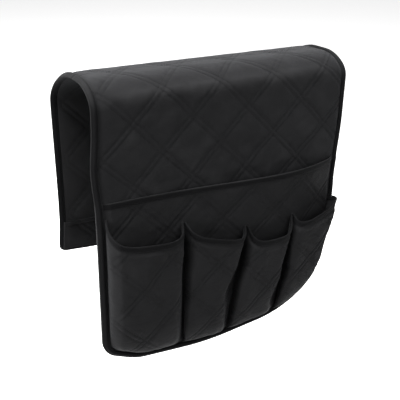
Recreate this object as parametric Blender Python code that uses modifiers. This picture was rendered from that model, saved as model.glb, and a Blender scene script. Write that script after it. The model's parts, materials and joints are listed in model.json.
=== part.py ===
"""Quilted organizer that hangs over the arm of a sofa.

A padded saddle lies across the arm.  A long flap with pockets hangs in front of it, and a short
flap hangs behind.  +X is to the right seen from the front, the pockets face -Y, and +Z is up.
The origin is the middle of the flat strip of lining that rests on top of the arm.
"""
import math

import bmesh
import bpy
import numpy as np
from mathutils import Matrix, Vector

# Overall sizes, in metres
WIDTH = 0.350
FRONT_REACH = 0.0525
REAR_REACH = 0.0757
CROWN_LAND = 0.024
FRONT_SHOULDER = 0.028
REAR_SHOULDER = 0.0476
FOLD_MARGIN = 0.002
FRONT_DROP = 0.361
REAR_DROP = 0.250

# Roundness of the two shoulders, as the power of a superellipse
FRONT_SHOULDER_POWER = 1.85
REAR_SHOULDER_POWER = 1.62

# Cloth and wadding thicknesses, and the air left between two pieces that touch
COVER = 0.0013
PADDING = 0.0028
LINING = 0.0008
TAPE = 0.0008
POCKET_CLOTH = 0.0008
FACING = 0.0008
GAP = 0.0003

# Outline of the front flap's foot: its corners from left to right, as shares of half the width and
# of the drop, and how round each one is, as a share of half the width
FOOT_ACROSS_SHARES = (-1, -0.74, 0.17, 0.81, 1)
FOOT_DOWN_SHARES = (0.936, 0.994, 1, 0.935, 0.632)
FOOT_ROUND_SHARES = (0.16, 0.4, 1, 0.20, 0.6)

# Edge binding, and the strip that faces the rear flap's hem
TAPE_WIDTH = 0.008
FACING_HEIGHT = 0.036

# Large flat pocket
MOUTH_DROP = 0.137
MOUTH_BULGE = 0.020
MOUTH_PEAK_SHARE = 0.72
BULGE_FADE_POWER = 1.6
SEAM_LAP = 0.0015

# Four small pockets, from left to right: five seams, then the fullness of each pocket
SEAM_ROOM = 0.0060
HEM_WIDTH = 0.008
HEM_EASE = 0.0004
SEAM_TOP_ACROSS_SHARES = (-0.950, -0.376, 0.128, 0.546, 0.975)
SEAM_TOP_DOWN_SHARES = (0.085, 0.185, 0.284, 0.284, 0.260)
SEAM_FOOT_ACROSS_SHARES = (-0.955, -0.371, 0.017, 0.475, 0.850)
POCKET_DEPTH = 0.025
POCKET_DEPTH_SHARES = (1.0, 0.80, 0.76, 0.80)
POCKET_SAG = 0.018
POCKET_SAG_SHARES = (1.0, 0.75, 1.2, 0.3)
POCKET_PLAN_POWER = 3.4
POCKET_FOOT_POWER = 4.5
SEWN_FOOT_SHARE = 0.03

# How far each flap swings in under the arm; the ends of its layers are cut back for it
SWING_IN = math.radians(10)

# Steps in curved lines
SHOULDER_STEPS = 11
CORNER_STEPS = 5
PANEL_COLUMNS = 26
PANEL_ROWS = 12
POCKET_COLUMNS = 16
POCKET_ROWS = 10

# Sizes that follow from the ones above
STACK = COVER + GAP + PADDING + GAP + LINING
TAPE_STAND = GAP + TAPE
HALF_WIDTH = WIDTH / 2
FRONT_FOLD = STACK - FRONT_SHOULDER - FOLD_MARGIN
REAR_FOLD = STACK - REAR_SHOULDER - FOLD_MARGIN
FRONT_FOOT = STACK - FRONT_DROP
REAR_FOOT = STACK - REAR_DROP
LINING_INSET = TAPE_WIDTH + GAP
PADDING_INSET = TAPE_STAND
POCKET_INSET = TAPE_WIDTH - SEAM_LAP
PANEL_BACK = GAP + TAPE + GAP
PANEL_FRONT = PANEL_BACK + POCKET_CLOTH
MOUTH = STACK - MOUTH_DROP


def clear_scene():
    for item in list(bpy.data.objects):
        bpy.data.objects.remove(item)


def collection(name):
    group = bpy.data.collections.new(name)
    bpy.context.scene.collection.children.link(group)
    return group


def material(name, colour, roughness):
    look = bpy.data.materials.new(name)
    look.use_nodes = True
    shader = look.node_tree.nodes["Principled BSDF"]
    shader.inputs["Base Color"].default_value = (*colour, 1)
    shader.inputs["Roughness"].default_value = roughness
    shader.inputs["Metallic"].default_value = 0
    look.diffuse_color = (*colour, 1)
    return look


def fold_axis(name, reach, height):
    """An empty on the line about which a flap swings."""
    axis = bpy.data.objects.new(name, None)
    axis.location = (0, reach, height)
    ORGANIZER.objects.link(axis)
    return axis


def add_piece(name, data, look, axis):
    """Put one piece in the collection, and hang it on its fold axis where it has one."""
    piece = bpy.data.objects.new(name, data)
    data.materials.append(look)
    ORGANIZER.objects.link(piece)
    if axis:
        piece.parent = axis
        piece.matrix_parent_inverse = Matrix.Translation(axis.location).inverted()
    return piece


def mitres(line):
    """Unit sideways steps at each point of an open line, lengthened at bends, to its left side."""
    steps = [(b - a).normalized() for a, b in zip(line, line[1:])]
    before = [steps[0]] + steps
    after = steps + [steps[-1]]
    sides = []
    for one, two in zip(before, after):
        middle = (one + two).normalized()
        sides.append(Vector((-middle.y, middle.x)) / one.dot(middle))
    return sides


def shifted(line, distance):
    return [point + side * distance for point, side in zip(line, mitres(line))]


def quarter(width, height, power, steps):
    """Points of a quarter superellipse, from its side (width, 0) to its top (0, height)."""
    turns = [math.pi / 2 * step / steps for step in range(steps + 1)]
    across = [width * max(math.cos(turn), 0) ** (2 / power) for turn in turns]
    up = [height * math.sin(turn) ** (2 / power) for turn in turns]
    return [Vector(pair) for pair in zip(across, up)]


def arch_line():
    """Outer face of the saddle as (y, z), from the front fold over the crown to the rear fold."""
    land = CROWN_LAND / 2
    front = quarter(FRONT_REACH - land, FRONT_SHOULDER, FRONT_SHOULDER_POWER, SHOULDER_STEPS)
    rear = quarter(REAR_REACH - land, REAR_SHOULDER, REAR_SHOULDER_POWER, SHOULDER_STEPS)
    line = [Vector((-FRONT_REACH, FRONT_FOLD))]
    line += [Vector((-land - p.x, STACK - FRONT_SHOULDER + p.y)) for p in front]
    line += [Vector((land + p.x, STACK - REAR_SHOULDER + p.y)) for p in reversed(rear)]
    return line + [Vector((REAR_REACH, REAR_FOLD))]


def rounded(corners, radii):
    """An open line through its corners, each inner one replaced by an arc that turns left."""
    line = [corners[0]]
    for before, corner, after, radius in zip(corners, corners[1:], corners[2:], radii):
        inwards = (corner - before).normalized()
        onwards = (after - corner).normalized()
        turn = math.atan2(inwards.x * onwards.y - inwards.y * onwards.x, inwards.dot(onwards))
        start = corner - inwards * radius * math.tan(turn / 2)
        centre = start + Vector((-inwards.y, inwards.x)) * radius
        for step in range(CORNER_STEPS + 1):
            line.append(centre + Matrix.Rotation(turn * step / CORNER_STEPS, 2) @ (start - centre))
    return line + [corners[-1]]


def front_line():
    """Finished edge of the front flap as (x, z): down the left side, and up the right."""
    places = zip(FOOT_ACROSS_SHARES, FOOT_DOWN_SHARES)
    foot = [Vector((HALF_WIDTH * across, STACK - FRONT_DROP * down)) for across, down in places]
    left = Vector((-HALF_WIDTH, FRONT_FOLD))
    right = Vector((HALF_WIDTH, FRONT_FOLD))
    return rounded([left, *foot, right], [HALF_WIDTH * share for share in FOOT_ROUND_SHARES])


def rear_line():
    """Finished edge of the rear flap as (x, z), in the same order as the front flap's."""
    across = (-HALF_WIDTH, -HALF_WIDTH, HALF_WIDTH, HALF_WIDTH)
    heights = (REAR_FOLD, REAR_FOOT, REAR_FOOT, REAR_FOLD)
    return [Vector(pair) for pair in zip(across, heights)]


def cut_back(depth):
    """How far below its fold a layer ends, so that its inner edge clears the saddle."""
    return GAP + (depth + TAPE_STAND) * math.tan(SWING_IN)


def sheet(name, look, axis, place, columns, rows, thickness):
    """Lay a grid of cloth with its outer face where place(u, v) says, then thicken it inwards."""
    mesh = bpy.data.meshes.new(name)
    grid = bmesh.new()
    bmesh.ops.create_grid(grid, x_segments=columns, y_segments=rows, size=0.5)
    for corner in grid.verts:
        corner.co = place(corner.co.x + 0.5, corner.co.y + 0.5)
    grid.to_mesh(mesh)
    grid.free()
    mesh.shade_smooth()
    piece = add_piece(name, mesh, look, axis)
    wall = piece.modifiers.new("cloth thickness", "SOLIDIFY")
    wall.thickness = thickness
    wall.offset = -1
    wall.use_even_offset = True
    return piece


def arch_layer(name, look, depth, thickness, inset):
    """One layer of the saddle, bent over the arm."""
    line = shifted(ARCH, depth)
    half = HALF_WIDTH - inset

    def place(u, v):
        point = line[round(v * (len(line) - 1))]
        return Vector((half * (2 * u - 1), point.x, point.y))

    return sheet(name, look, None, place, 1, len(line) - 1, thickness)


def flat_layer(name, look, axis, outline, outer_face, thickness):
    """One flat layer of a flap: an outline in (x, z), thickened behind or ahead of outer_face."""
    curve = bpy.data.curves.new(name, "CURVE")
    curve.dimensions = "2D"
    curve.fill_mode = "BOTH"
    curve.extrude = abs(thickness) / 2
    spline = curve.splines.new("POLY")
    spline.points.add(len(outline) - 1)
    for corner, point in zip(spline.points, outline):
        corner.co = (point.x, point.y, 0, 1)
    spline.use_cyclic_u = True
    piece = add_piece(name, curve, look, axis)
    piece.rotation_euler = (math.pi / 2, 0, 0)
    piece.location = (0, outer_face + thickness / 2, 0)
    return piece


def panel_outline(edge, inset, top):
    """The finished edge moved inwards, and cut off level at its top."""
    line = shifted(edge, inset)
    line[0].y = top
    line[-1].y = top
    return line


def tape(name, look, axis, stations, front, back, width):
    """A folded strip round an edge.

    Each station is a point on the edge, the way in across the cloth, and the way out of its face.
    The strip's outer faces stand at front and back along the way out, and its legs are width long.
    """
    section = ((width, front), (0, front), (0, back), (width, back))

    def place(u, v):
        point, inwards, outwards = stations[round(v * (len(stations) - 1))]
        along, out = section[round(u * (len(section) - 1))]
        return point + inwards * along + outwards * out

    return sheet(name, look, axis, place, len(section) - 1, len(stations) - 1, TAPE)


def arch_stations(side):
    """Stations along one end of the saddle; side is -1 at the left and 1 at the right."""
    inwards = Vector((-side, 0, 0))
    stations = []
    for point, left in zip(ARCH, mitres(ARCH)):
        outwards = Vector((0, left.x, left.y))
        stations.append((Vector((side * HALF_WIDTH, point.x, point.y)), inwards, outwards))
    return stations if side > 0 else stations[::-1]


def flap_stations(edge, face, outwards, top):
    """Stations round a flap's sides and foot; outwards is -1 in front and 1 behind."""
    stations = []
    for point, left in zip(edge, mitres(edge)):
        place = Vector((point.x, face, min(point.y, top)))
        stations.append((place, Vector((left.x, 0, left.y)), Vector((0, outwards, 0))))
    return stations if outwards < 0 else stations[::-1]


def foot_height(across):
    """Height of the front pockets' lower edge at a place across the flap."""
    line = shifted(FRONT_EDGE, POCKET_INSET)[1:-1]
    return float(np.interp(across, [p.x for p in line], [p.y for p in line]))


def panel_stand(across, height):
    """How far the large pocket stands off the flap: most at its mouth, right of the middle."""
    half = HALF_WIDTH - POCKET_INSET
    share = min(max((across + half) / (2 * half), 0), 1)
    peak = math.log(0.5) / math.log(MOUTH_PEAK_SHARE)
    plan = math.sin(math.pi * share ** peak)
    foot = foot_height(across)
    up = min(max((height - foot) / (MOUTH - foot), 0), 1)
    return MOUTH_BULGE * plan * up ** BULGE_FADE_POWER


def panel_place(u, v):
    """Outer face of the large pocket's cloth; columns crowd towards its two ends."""
    half = HALF_WIDTH - POCKET_INSET
    across = -half * math.cos(math.pi * u)
    foot = foot_height(across)
    height = foot + (MOUTH - foot) * v
    return Vector((across, -FRONT_REACH - PANEL_FRONT - panel_stand(across, height), height))


def seam_top(number):
    drop = (MOUTH - FRONT_FOOT) * SEAM_TOP_DOWN_SHARES[number]
    return Vector((HALF_WIDTH * SEAM_TOP_ACROSS_SHARES[number], MOUTH - drop))


def pocket_place(number):
    """Outer face of a small pocket's cloth, between two seams; its top row is as tall as the hem."""
    room = SEAM_ROOM / 2
    left_top = seam_top(number)
    right_top = seam_top(number + 1)
    left_foot = HALF_WIDTH * SEAM_FOOT_ACROSS_SHARES[number] + room
    right_foot = HALF_WIDTH * SEAM_FOOT_ACROSS_SHARES[number + 1] - room
    depth = POCKET_DEPTH * POCKET_DEPTH_SHARES[number]
    sag = POCKET_SAG * POCKET_SAG_SHARES[number]

    def place(u, v):
        turn = math.pi * u
        bend = math.copysign(abs(math.cos(turn)) ** (2 / POCKET_PLAN_POWER), math.cos(turn))
        share = (1 - bend) / 2
        plan = max(math.sin(turn), 0) ** (2 / POCKET_PLAN_POWER)
        top_across = left_top.x + room + (right_top.x - left_top.x - 2 * room) * share
        top = Vector((top_across, left_top.y + (right_top.y - left_top.y) * share - sag * plan))
        foot_across = left_foot + (right_foot - left_foot) * share
        foot = Vector((foot_across, foot_height(foot_across)))
        hem_share = HEM_WIDTH / (top - foot).length
        row = (1 - v) * POCKET_ROWS
        rest = max(row - 1, 0) / (POCKET_ROWS - 1)
        down = hem_share * min(row, 1) + (1 - hem_share) * math.sin(math.pi / 2 * rest)
        point = top.lerp(foot, down)
        full = min(down / (1 - SEWN_FOOT_SHARE), 1)
        fall = (1 - full ** POCKET_FOOT_POWER) ** (1 / 2)
        stand = PANEL_FRONT + panel_stand(point.x, point.y) + GAP + POCKET_CLOTH
        return Vector((point.x, -FRONT_REACH - stand - depth * plan * fall, point.y))

    return place


def rim_stations(rim, below):
    """Stations along the rim of a raised cloth, from its right end to its left."""
    downs = [(low - point).normalized() for point, low in zip(rim, below)]
    steps = [(b - a).normalized() for a, b in zip(rim, rim[1:])]
    before = [steps[0]] + steps
    after = steps + [steps[-1]]
    stations = []
    for point, down, one, two in zip(rim, downs, before, after):
        first = down.cross(one)
        second = down.cross(two)
        rise = (TAPE_STAND + HEM_EASE) / min(first.length, second.length)
        middle = (first.normalized() + second.normalized()).normalized()
        outwards = middle / middle.dot(first.normalized())
        stations.append((point - down * rise, down, outwards))
    return stations[::-1]


def hem(name, axis, rim, below):
    """A tape folded over the raised top edge of a pocket."""
    stations = rim_stations(rim, below)
    tape(name, BINDING_LOOK, axis, stations, TAPE_STAND, -POCKET_CLOTH - TAPE_STAND, HEM_WIDTH)


def build_saddle():
    arch_layer("top_quilted_cover", COVER_LOOK, 0, COVER, PADDING_INSET)
    arch_layer("top_padding", PADDING_LOOK, -COVER - GAP, PADDING, PADDING_INSET)
    arch_layer("top_lining", LINING_LOOK, LINING - STACK, LINING, LINING_INSET)
    for name, side in (("top_binding_left", -1), ("top_binding_right", 1)):
        tape(name, BINDING_LOOK, None, arch_stations(side), TAPE_STAND, -STACK, TAPE_WIDTH)


def build_flap(name, edge, face, outwards, fold, axis):
    """The three layers of a flap and the binding round them; outwards is -1 in front, 1 behind."""
    layers = (
        ("quilted_cover", COVER_LOOK, 0, COVER, PADDING_INSET),
        ("padding", PADDING_LOOK, COVER + GAP, PADDING, PADDING_INSET),
        ("lining", LINING_LOOK, STACK - LINING, LINING, LINING_INSET),
    )
    for layer, look, depth, thickness, inset in layers:
        outline = panel_outline(edge, inset, fold - cut_back(depth + thickness))
        outer_face = face - outwards * depth
        flat_layer(f"{name}_{layer}", look, axis, outline, outer_face, -outwards * thickness)
    stations = flap_stations(edge, face, outwards, fold - cut_back(STACK))
    tape(f"{name}_binding", BINDING_LOOK, axis, stations, TAPE_STAND, -STACK, TAPE_WIDTH)


def build_magazine_pocket(axis):
    """The large pocket's cloth, and the hem on its mouth, which stops short of the side binding."""
    name = "magazine_pocket"
    sheet(f"{name}_panel", POCKET_LOOK, axis, panel_place, PANEL_COLUMNS, PANEL_ROWS, POCKET_CLOTH)
    start = math.acos((HALF_WIDTH - LINING_INSET) / (HALF_WIDTH - POCKET_INSET)) / math.pi
    inner = [column / PANEL_COLUMNS for column in range(1, PANEL_COLUMNS)]
    columns = [start, *[u for u in inner if start < u < 1 - start], 1 - start]
    rim = [panel_place(u, 1) for u in columns]
    below = [panel_place(u, 1 - 1 / PANEL_ROWS) for u in columns]
    hem(f"{name}_hem", axis, rim, below)


def build_small_pocket(number, axis):
    place = pocket_place(number)
    name = f"small_pocket_{number + 1}"
    sheet(f"{name}_panel", POCKET_LOOK, axis, place, POCKET_COLUMNS, POCKET_ROWS, POCKET_CLOTH)
    columns = [column / POCKET_COLUMNS for column in range(POCKET_COLUMNS + 1)]
    rim = [place(u, 1) for u in columns]
    below = [place(u, 1 - 1 / POCKET_ROWS) for u in columns]
    hem(f"{name}_hem", axis, rim, below)


def build_rear_facing(axis):
    edge = panel_outline(REAR_EDGE, LINING_INSET, REAR_FOOT + LINING_INSET + FACING_HEIGHT)
    flat_layer("rear_hem_facing", POCKET_LOOK, axis, edge, REAR_REACH - STACK - GAP, -FACING)


clear_scene()
ORGANIZER = collection("armrest_organizer")
COVER_LOOK = material("quilted polyester", (0.021, 0.021, 0.022), 0.62)
PADDING_LOOK = material("wadding", (0.72, 0.72, 0.70), 0.95)
LINING_LOOK = material("lining", (0.012, 0.012, 0.013), 0.70)
BINDING_LOOK = material("binding tape", (0.026, 0.026, 0.027), 0.58)
POCKET_LOOK = material("pocket polyester", (0.018, 0.018, 0.019), 0.62)
ARCH = arch_line()
FRONT_EDGE = front_line()
REAR_EDGE = rear_line()
FRONT_AXIS = fold_axis("front_fold_axis", -FRONT_REACH - TAPE_STAND, FRONT_FOLD)
REAR_AXIS = fold_axis("rear_fold_axis", REAR_REACH + TAPE_STAND, REAR_FOLD)
build_saddle()
build_flap("front", FRONT_EDGE, -FRONT_REACH, -1, FRONT_FOLD, FRONT_AXIS)
build_magazine_pocket(FRONT_AXIS)
for pocket in range(len(POCKET_DEPTH_SHARES)):
    build_small_pocket(pocket, FRONT_AXIS)
build_flap("rear", REAR_EDGE, REAR_REACH, 1, REAR_FOLD, REAR_AXIS)
build_rear_facing(REAR_AXIS)
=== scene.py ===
"""Looks of the quilted organizer that hangs over the arm of a sofa.

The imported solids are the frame.  Every piece of cloth is made again here, finer and softer, in the
place of its solid, in the order in which the real one is cut, quilted, bound and sewn together.
"""

import json
import math

import bpy
import numpy as np
from mathutils import Matrix, Vector


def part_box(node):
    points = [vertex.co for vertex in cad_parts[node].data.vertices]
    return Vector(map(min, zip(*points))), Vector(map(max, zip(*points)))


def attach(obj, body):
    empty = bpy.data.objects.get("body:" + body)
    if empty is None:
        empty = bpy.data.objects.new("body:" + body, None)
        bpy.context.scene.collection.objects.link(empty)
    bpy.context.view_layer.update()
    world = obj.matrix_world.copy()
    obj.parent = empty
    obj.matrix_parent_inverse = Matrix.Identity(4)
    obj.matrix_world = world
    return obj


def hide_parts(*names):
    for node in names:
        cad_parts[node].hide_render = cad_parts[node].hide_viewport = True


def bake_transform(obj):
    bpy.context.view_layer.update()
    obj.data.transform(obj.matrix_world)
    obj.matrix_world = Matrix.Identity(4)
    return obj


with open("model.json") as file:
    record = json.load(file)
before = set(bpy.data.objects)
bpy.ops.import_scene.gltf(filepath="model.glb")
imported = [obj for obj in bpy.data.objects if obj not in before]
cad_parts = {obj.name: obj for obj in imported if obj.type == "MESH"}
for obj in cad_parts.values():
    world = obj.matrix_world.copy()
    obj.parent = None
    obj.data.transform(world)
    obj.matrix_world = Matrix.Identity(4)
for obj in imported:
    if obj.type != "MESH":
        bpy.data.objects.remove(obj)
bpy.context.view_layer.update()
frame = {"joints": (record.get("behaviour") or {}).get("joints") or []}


# The strip of cloth and its way over the arm.
# The organizer is cut as one long strip that lies over the arm and hangs down on both sides.  A place
# on it is written as a distance across, and a distance along from the crown, negative to the front.
arch_low, arch_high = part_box("top_quilted_cover")
FRONT_REACH = -arch_low.y
REAR_REACH = arch_high.y
CROWN = arch_high.z
HALF_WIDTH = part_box("top_binding_right")[1].x
FRONT_FOLD, REAR_FOLD = (Vector(joint["pos_m"]) for joint in frame["joints"])
FRONT_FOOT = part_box("front_binding")[0].z
REAR_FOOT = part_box("rear_binding")[0].z
CROWN_LAND = 0.024
FRONT_SHOULDER = 0.028
REAR_SHOULDER = 0.0476
FRONT_SHOULDER_POWER = 1.85
REAR_SHOULDER_POWER = 1.62
REAR_STAND_OUT = 0.007
REAR_LEAN_IN = 0.003
REAR_KICK_OUT = 0.005
REAR_LONGER = 0.0085
CORNER_CURL = 0.006
CORNER_CURL_REACH = 0.055
RIGHT_FLARE = 0.0058
FLARE_FADES_FRONT = (0.115, 0.22)
FLARE_FADES_REAR = (0.03, 0.12)
LEFT_WAVE = 0.0035
LEFT_WAVE_PLACE = -0.135
LEFT_WAVE_REACH = 0.032
PATH_SPARE = 0.03
PATH_STEP = 0.0005
SOFT_BEND = 0.0035
ARC_POINTS = 240
STACK = 0.0055


def eased(value, low, high):
    """A share that runs smoothly from 0 at low to 1 at high."""
    share = np.clip((value - low) / (high - low), 0, 1)
    return share * share * (3 - 2 * share)


def quarter_arc(width, height, power):
    """A quarter of a superellipse, from its side to its top."""
    turn = np.linspace(0, math.pi / 2, ARC_POINTS)
    across = width * np.clip(np.cos(turn), 0, 1) ** (2 / power)
    return across, height * np.sin(turn) ** (2 / power)


def run_of(steps):
    """The distance run at the start and after each step."""
    return np.concatenate([[0], np.cumsum(steps)])


def unit(ways):
    return ways / np.linalg.norm(ways, axis=-1, keepdims=True)


def strip_path():
    """Rows of (along, y, z) down the middle of the strip's outer face, softened at its bends."""
    land = CROWN_LAND / 2
    front_y, front_z = quarter_arc(FRONT_REACH - land, FRONT_SHOULDER, FRONT_SHOULDER_POWER)
    rear_out = REAR_REACH + REAR_STAND_OUT
    rear_y, rear_z = quarter_arc(rear_out - land, REAR_SHOULDER, REAR_SHOULDER_POWER)
    front_top = CROWN - FRONT_SHOULDER
    rear_top = CROWN - REAR_SHOULDER
    hang = np.linspace(0, 1, ARC_POINTS)
    drop = rear_top - REAR_FOOT + PATH_SPARE
    lean = REAR_KICK_OUT * eased(hang, 0.55, 1.1) - REAR_LEAN_IN * eased(hang, 0, 0.6)
    y = [[-FRONT_REACH], -land - front_y, (land + rear_y)[::-1], rear_out + lean]
    z = [[FRONT_FOOT - PATH_SPARE], front_top + front_z, (rear_top + rear_z)[::-1], rear_top - drop * hang]
    y = np.concatenate(y)
    z = np.concatenate(z)
    along = run_of(np.hypot(np.diff(y), np.diff(z)))
    even = np.arange(0, along[-1], PATH_STEP)
    line = np.stack([np.interp(even, along, y), np.interp(even, along, z)], 1)
    reach = int(4 * SOFT_BEND / PATH_STEP)
    weights = np.exp(-0.5 * (np.arange(-reach, reach + 1) * PATH_STEP / SOFT_BEND) ** 2)
    weights /= weights.sum()
    soft = np.stack([np.convolve(line[:, axis], weights, "valid") for axis in (0, 1)], 1)
    along = run_of(np.hypot(*np.diff(soft, axis=0).T))
    along -= np.interp(0, soft[:, 0], along)
    return np.column_stack([along, soft])


PATH = strip_path()
PATH_SLOPE = np.gradient(PATH[:, 1:], PATH[:, 0], axis=0)
FRONT_PART = PATH[:, 0] < 0


def path_way(along):
    """Unit steps along the strip, and out of its face, as (y, z) pairs."""
    way = unit(np.stack([np.interp(along, PATH[:, 0], PATH_SLOPE[:, axis]) for axis in (0, 1)], -1))
    return way, np.stack([-way[..., 1], way[..., 0]], -1)


def end_sway(across, along):
    """How far the cloth's ends lie from straight: a flare at the right, and a wave at the left."""
    flare = RIGHT_FLARE * (1 - eased(-along, *FLARE_FADES_FRONT)) * (1 - eased(along, *FLARE_FADES_REAR))
    wave = LEFT_WAVE * np.exp(-((along - LEFT_WAVE_PLACE) / LEFT_WAVE_REACH) ** 2)
    return flare * eased(across, 0, HALF_WIDTH) - wave * eased(-across, 0, HALF_WIDTH)


def on_strip(across, along, out=0.0):
    """Points out of the strip's outer face, in the row frame."""
    across, along, out = np.broadcast_arrays(across, along, out)
    _, away = path_way(along)
    low = eased(along, REAR_LENGTH - CORNER_CURL_REACH, REAR_LENGTH)
    near_side = eased(-across, HALF_WIDTH - CORNER_CURL_REACH, HALF_WIDTH)
    out = out + CORNER_CURL * low * near_side
    y = np.interp(along, PATH[:, 0], PATH[:, 1]) + away[..., 0] * out
    z = np.interp(along, PATH[:, 0], PATH[:, 2]) + away[..., 1] * out
    return np.stack([across + end_sway(across, along), y, z], -1)


def front_along(height):
    return np.interp(height, PATH[FRONT_PART, 2], PATH[FRONT_PART, 0])


def rear_along(height):
    return np.interp(-np.asarray(height), -PATH[~FRONT_PART, 2], PATH[~FRONT_PART, 0])


REAR_LENGTH = float(rear_along(REAR_FOOT - REAR_LONGER))


# The cut edge of the strip.
# The front end is cut in a sweeping curve that rises to the right, with rounded corners.  The rear
# end is cut straight.  Both outlines are drawn here as finished edges, with the binding on.
FOOT_ACROSS_SHARES = (-1, -0.74, -0.149, 0.48, 0.709, 0.857, 0.983, 1)
FOOT_DOWN_SHARES = (0.938, 0.998, 1.0265, 0.999, 0.948, 0.867, 0.703, 0.647)
FOOT_ROUND_SHARES = (0.16, 0.4, 2.2, 0.85, 0.3, 0.22, 0.4, 0.4)
REAR_CORNER = 0.010
CORNER_STEPS = 10
EDGE_STEP = 0.003


def rounded(corners, radii):
    """An open line through its corners, each inner one replaced by an arc that turns left."""
    line = [corners[0]]
    for before, corner, after, radius in zip(corners, corners[1:], corners[2:], radii):
        inwards = (corner - before).normalized()
        onwards = (after - corner).normalized()
        turn = math.atan2(inwards.x * onwards.y - inwards.y * onwards.x, inwards.dot(onwards))
        start = corner - inwards * radius * math.tan(turn / 2)
        centre = start + Vector((-inwards.y, inwards.x)) * radius
        for step in range(CORNER_STEPS + 1):
            line.append(centre + Matrix.Rotation(turn * step / CORNER_STEPS, 2) @ (start - centre))
    return line + [corners[-1]]


def evenly(line, step):
    """The same line with points at even distances."""
    line = np.asarray(line, float)
    run = run_of(np.linalg.norm(np.diff(line, axis=0), axis=1))
    places = np.linspace(0, run[-1], max(2, round(run[-1] / step) + 1))
    return np.stack([np.interp(places, run, line[:, axis]) for axis in range(line.shape[1])], 1)


def left_of(line):
    """Unit steps to the left of a line in the flat cloth."""
    way = unit(np.gradient(line, axis=0))
    return np.stack([-way[:, 1], way[:, 0]], 1)


def front_outline():
    """From the crown down the left side, round the foot and up the right, as (across, along)."""
    drop = CROWN - FRONT_FOOT
    places = zip(FOOT_ACROSS_SHARES, FOOT_DOWN_SHARES)
    foot = [Vector((HALF_WIDTH * x, float(front_along(CROWN - drop * z)))) for x, z in places]
    corners = [Vector((-HALF_WIDTH, 0)), *foot, Vector((HALF_WIDTH, 0))]
    line = rounded(corners, [HALF_WIDTH * share for share in FOOT_ROUND_SHARES])
    return evenly([tuple(point) for point in line], EDGE_STEP)


def rear_outline():
    """From the crown down the right side of the rear flap, and back up its left, in the cloth."""
    end = REAR_LENGTH
    places = ((HALF_WIDTH, 0), (HALF_WIDTH, end), (-HALF_WIDTH, end), (-HALF_WIDTH, 0))
    line = rounded([Vector(place) for place in places], [REAR_CORNER, REAR_CORNER])
    return evenly([tuple(point) for point in line], EDGE_STEP)


FRONT_EDGE = front_outline()
REAR_EDGE = rear_outline()


def edge_along(edge, inset):
    """A function that gives the along value of the strip's end at a place across it."""
    line = edge + left_of(edge) * inset
    line = line[np.argsort(-np.abs(line[:, 1]))]
    places, farthest = np.unique(line[:, 0].round(5), return_index=True)
    return lambda across: np.interp(across, places, line[farthest, 1])


def edge_distance(across, along, edge):
    """How far places on the strip lie from its finished edge."""
    across, along = np.broadcast_arrays(across, along)
    places = np.stack([across.ravel(), along.ravel()], 1)
    best = np.full(len(places), 1.0)
    for one, two in zip(edge, edge[1:]):
        side = two - one
        share = np.clip(((places - one) @ side) / (side @ side), 0, 1)
        best = np.minimum(best, np.linalg.norm(places - one - share[:, None] * side, axis=1))
    return best.reshape(across.shape)


# The black polyester.
# A plain weave of fine filament yarn with a dull sheen.  Colour, sheen and roughness differ a little
# between body cloth, pocket cloth, lining and tape, so each has its own finish from one recipe.
CUT_MAP = "cut"
WEAR_AND_PAINTED_LIGHT = "wear_and_painted_light"


def fill_in(made, settings):
    """Set a node's inputs and options.  Underscores stand for the spaces in an input's name."""
    for name, value in settings.items():
        title = name.replace("_", " ")
        if title in made.inputs:
            made.inputs[title].default_value = value
        else:
            setattr(made, name, value)
    return made


def node(tree, kind, label, **settings):
    made = tree.nodes.new(kind)
    made.label = label
    return fill_in(made, settings)


def new_look(name, **settings):
    """A material, its tree of nodes, and its shader with these inputs set."""
    look = bpy.data.materials.new(name)
    look.use_nodes = True
    tree = look.node_tree
    return look, tree, fill_in(tree.nodes["Principled BSDF"], settings)


def sums(tree, operation, label, one, two):
    """A math node on two values, each a socket or a number."""
    made = node(tree, "ShaderNodeMath", label, operation=operation)
    for place, value in zip(made.inputs, (one, two)):
        if isinstance(value, bpy.types.NodeSocket):
            tree.links.new(value, place)
        else:
            place.default_value = value
    return made.outputs[0]


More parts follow.
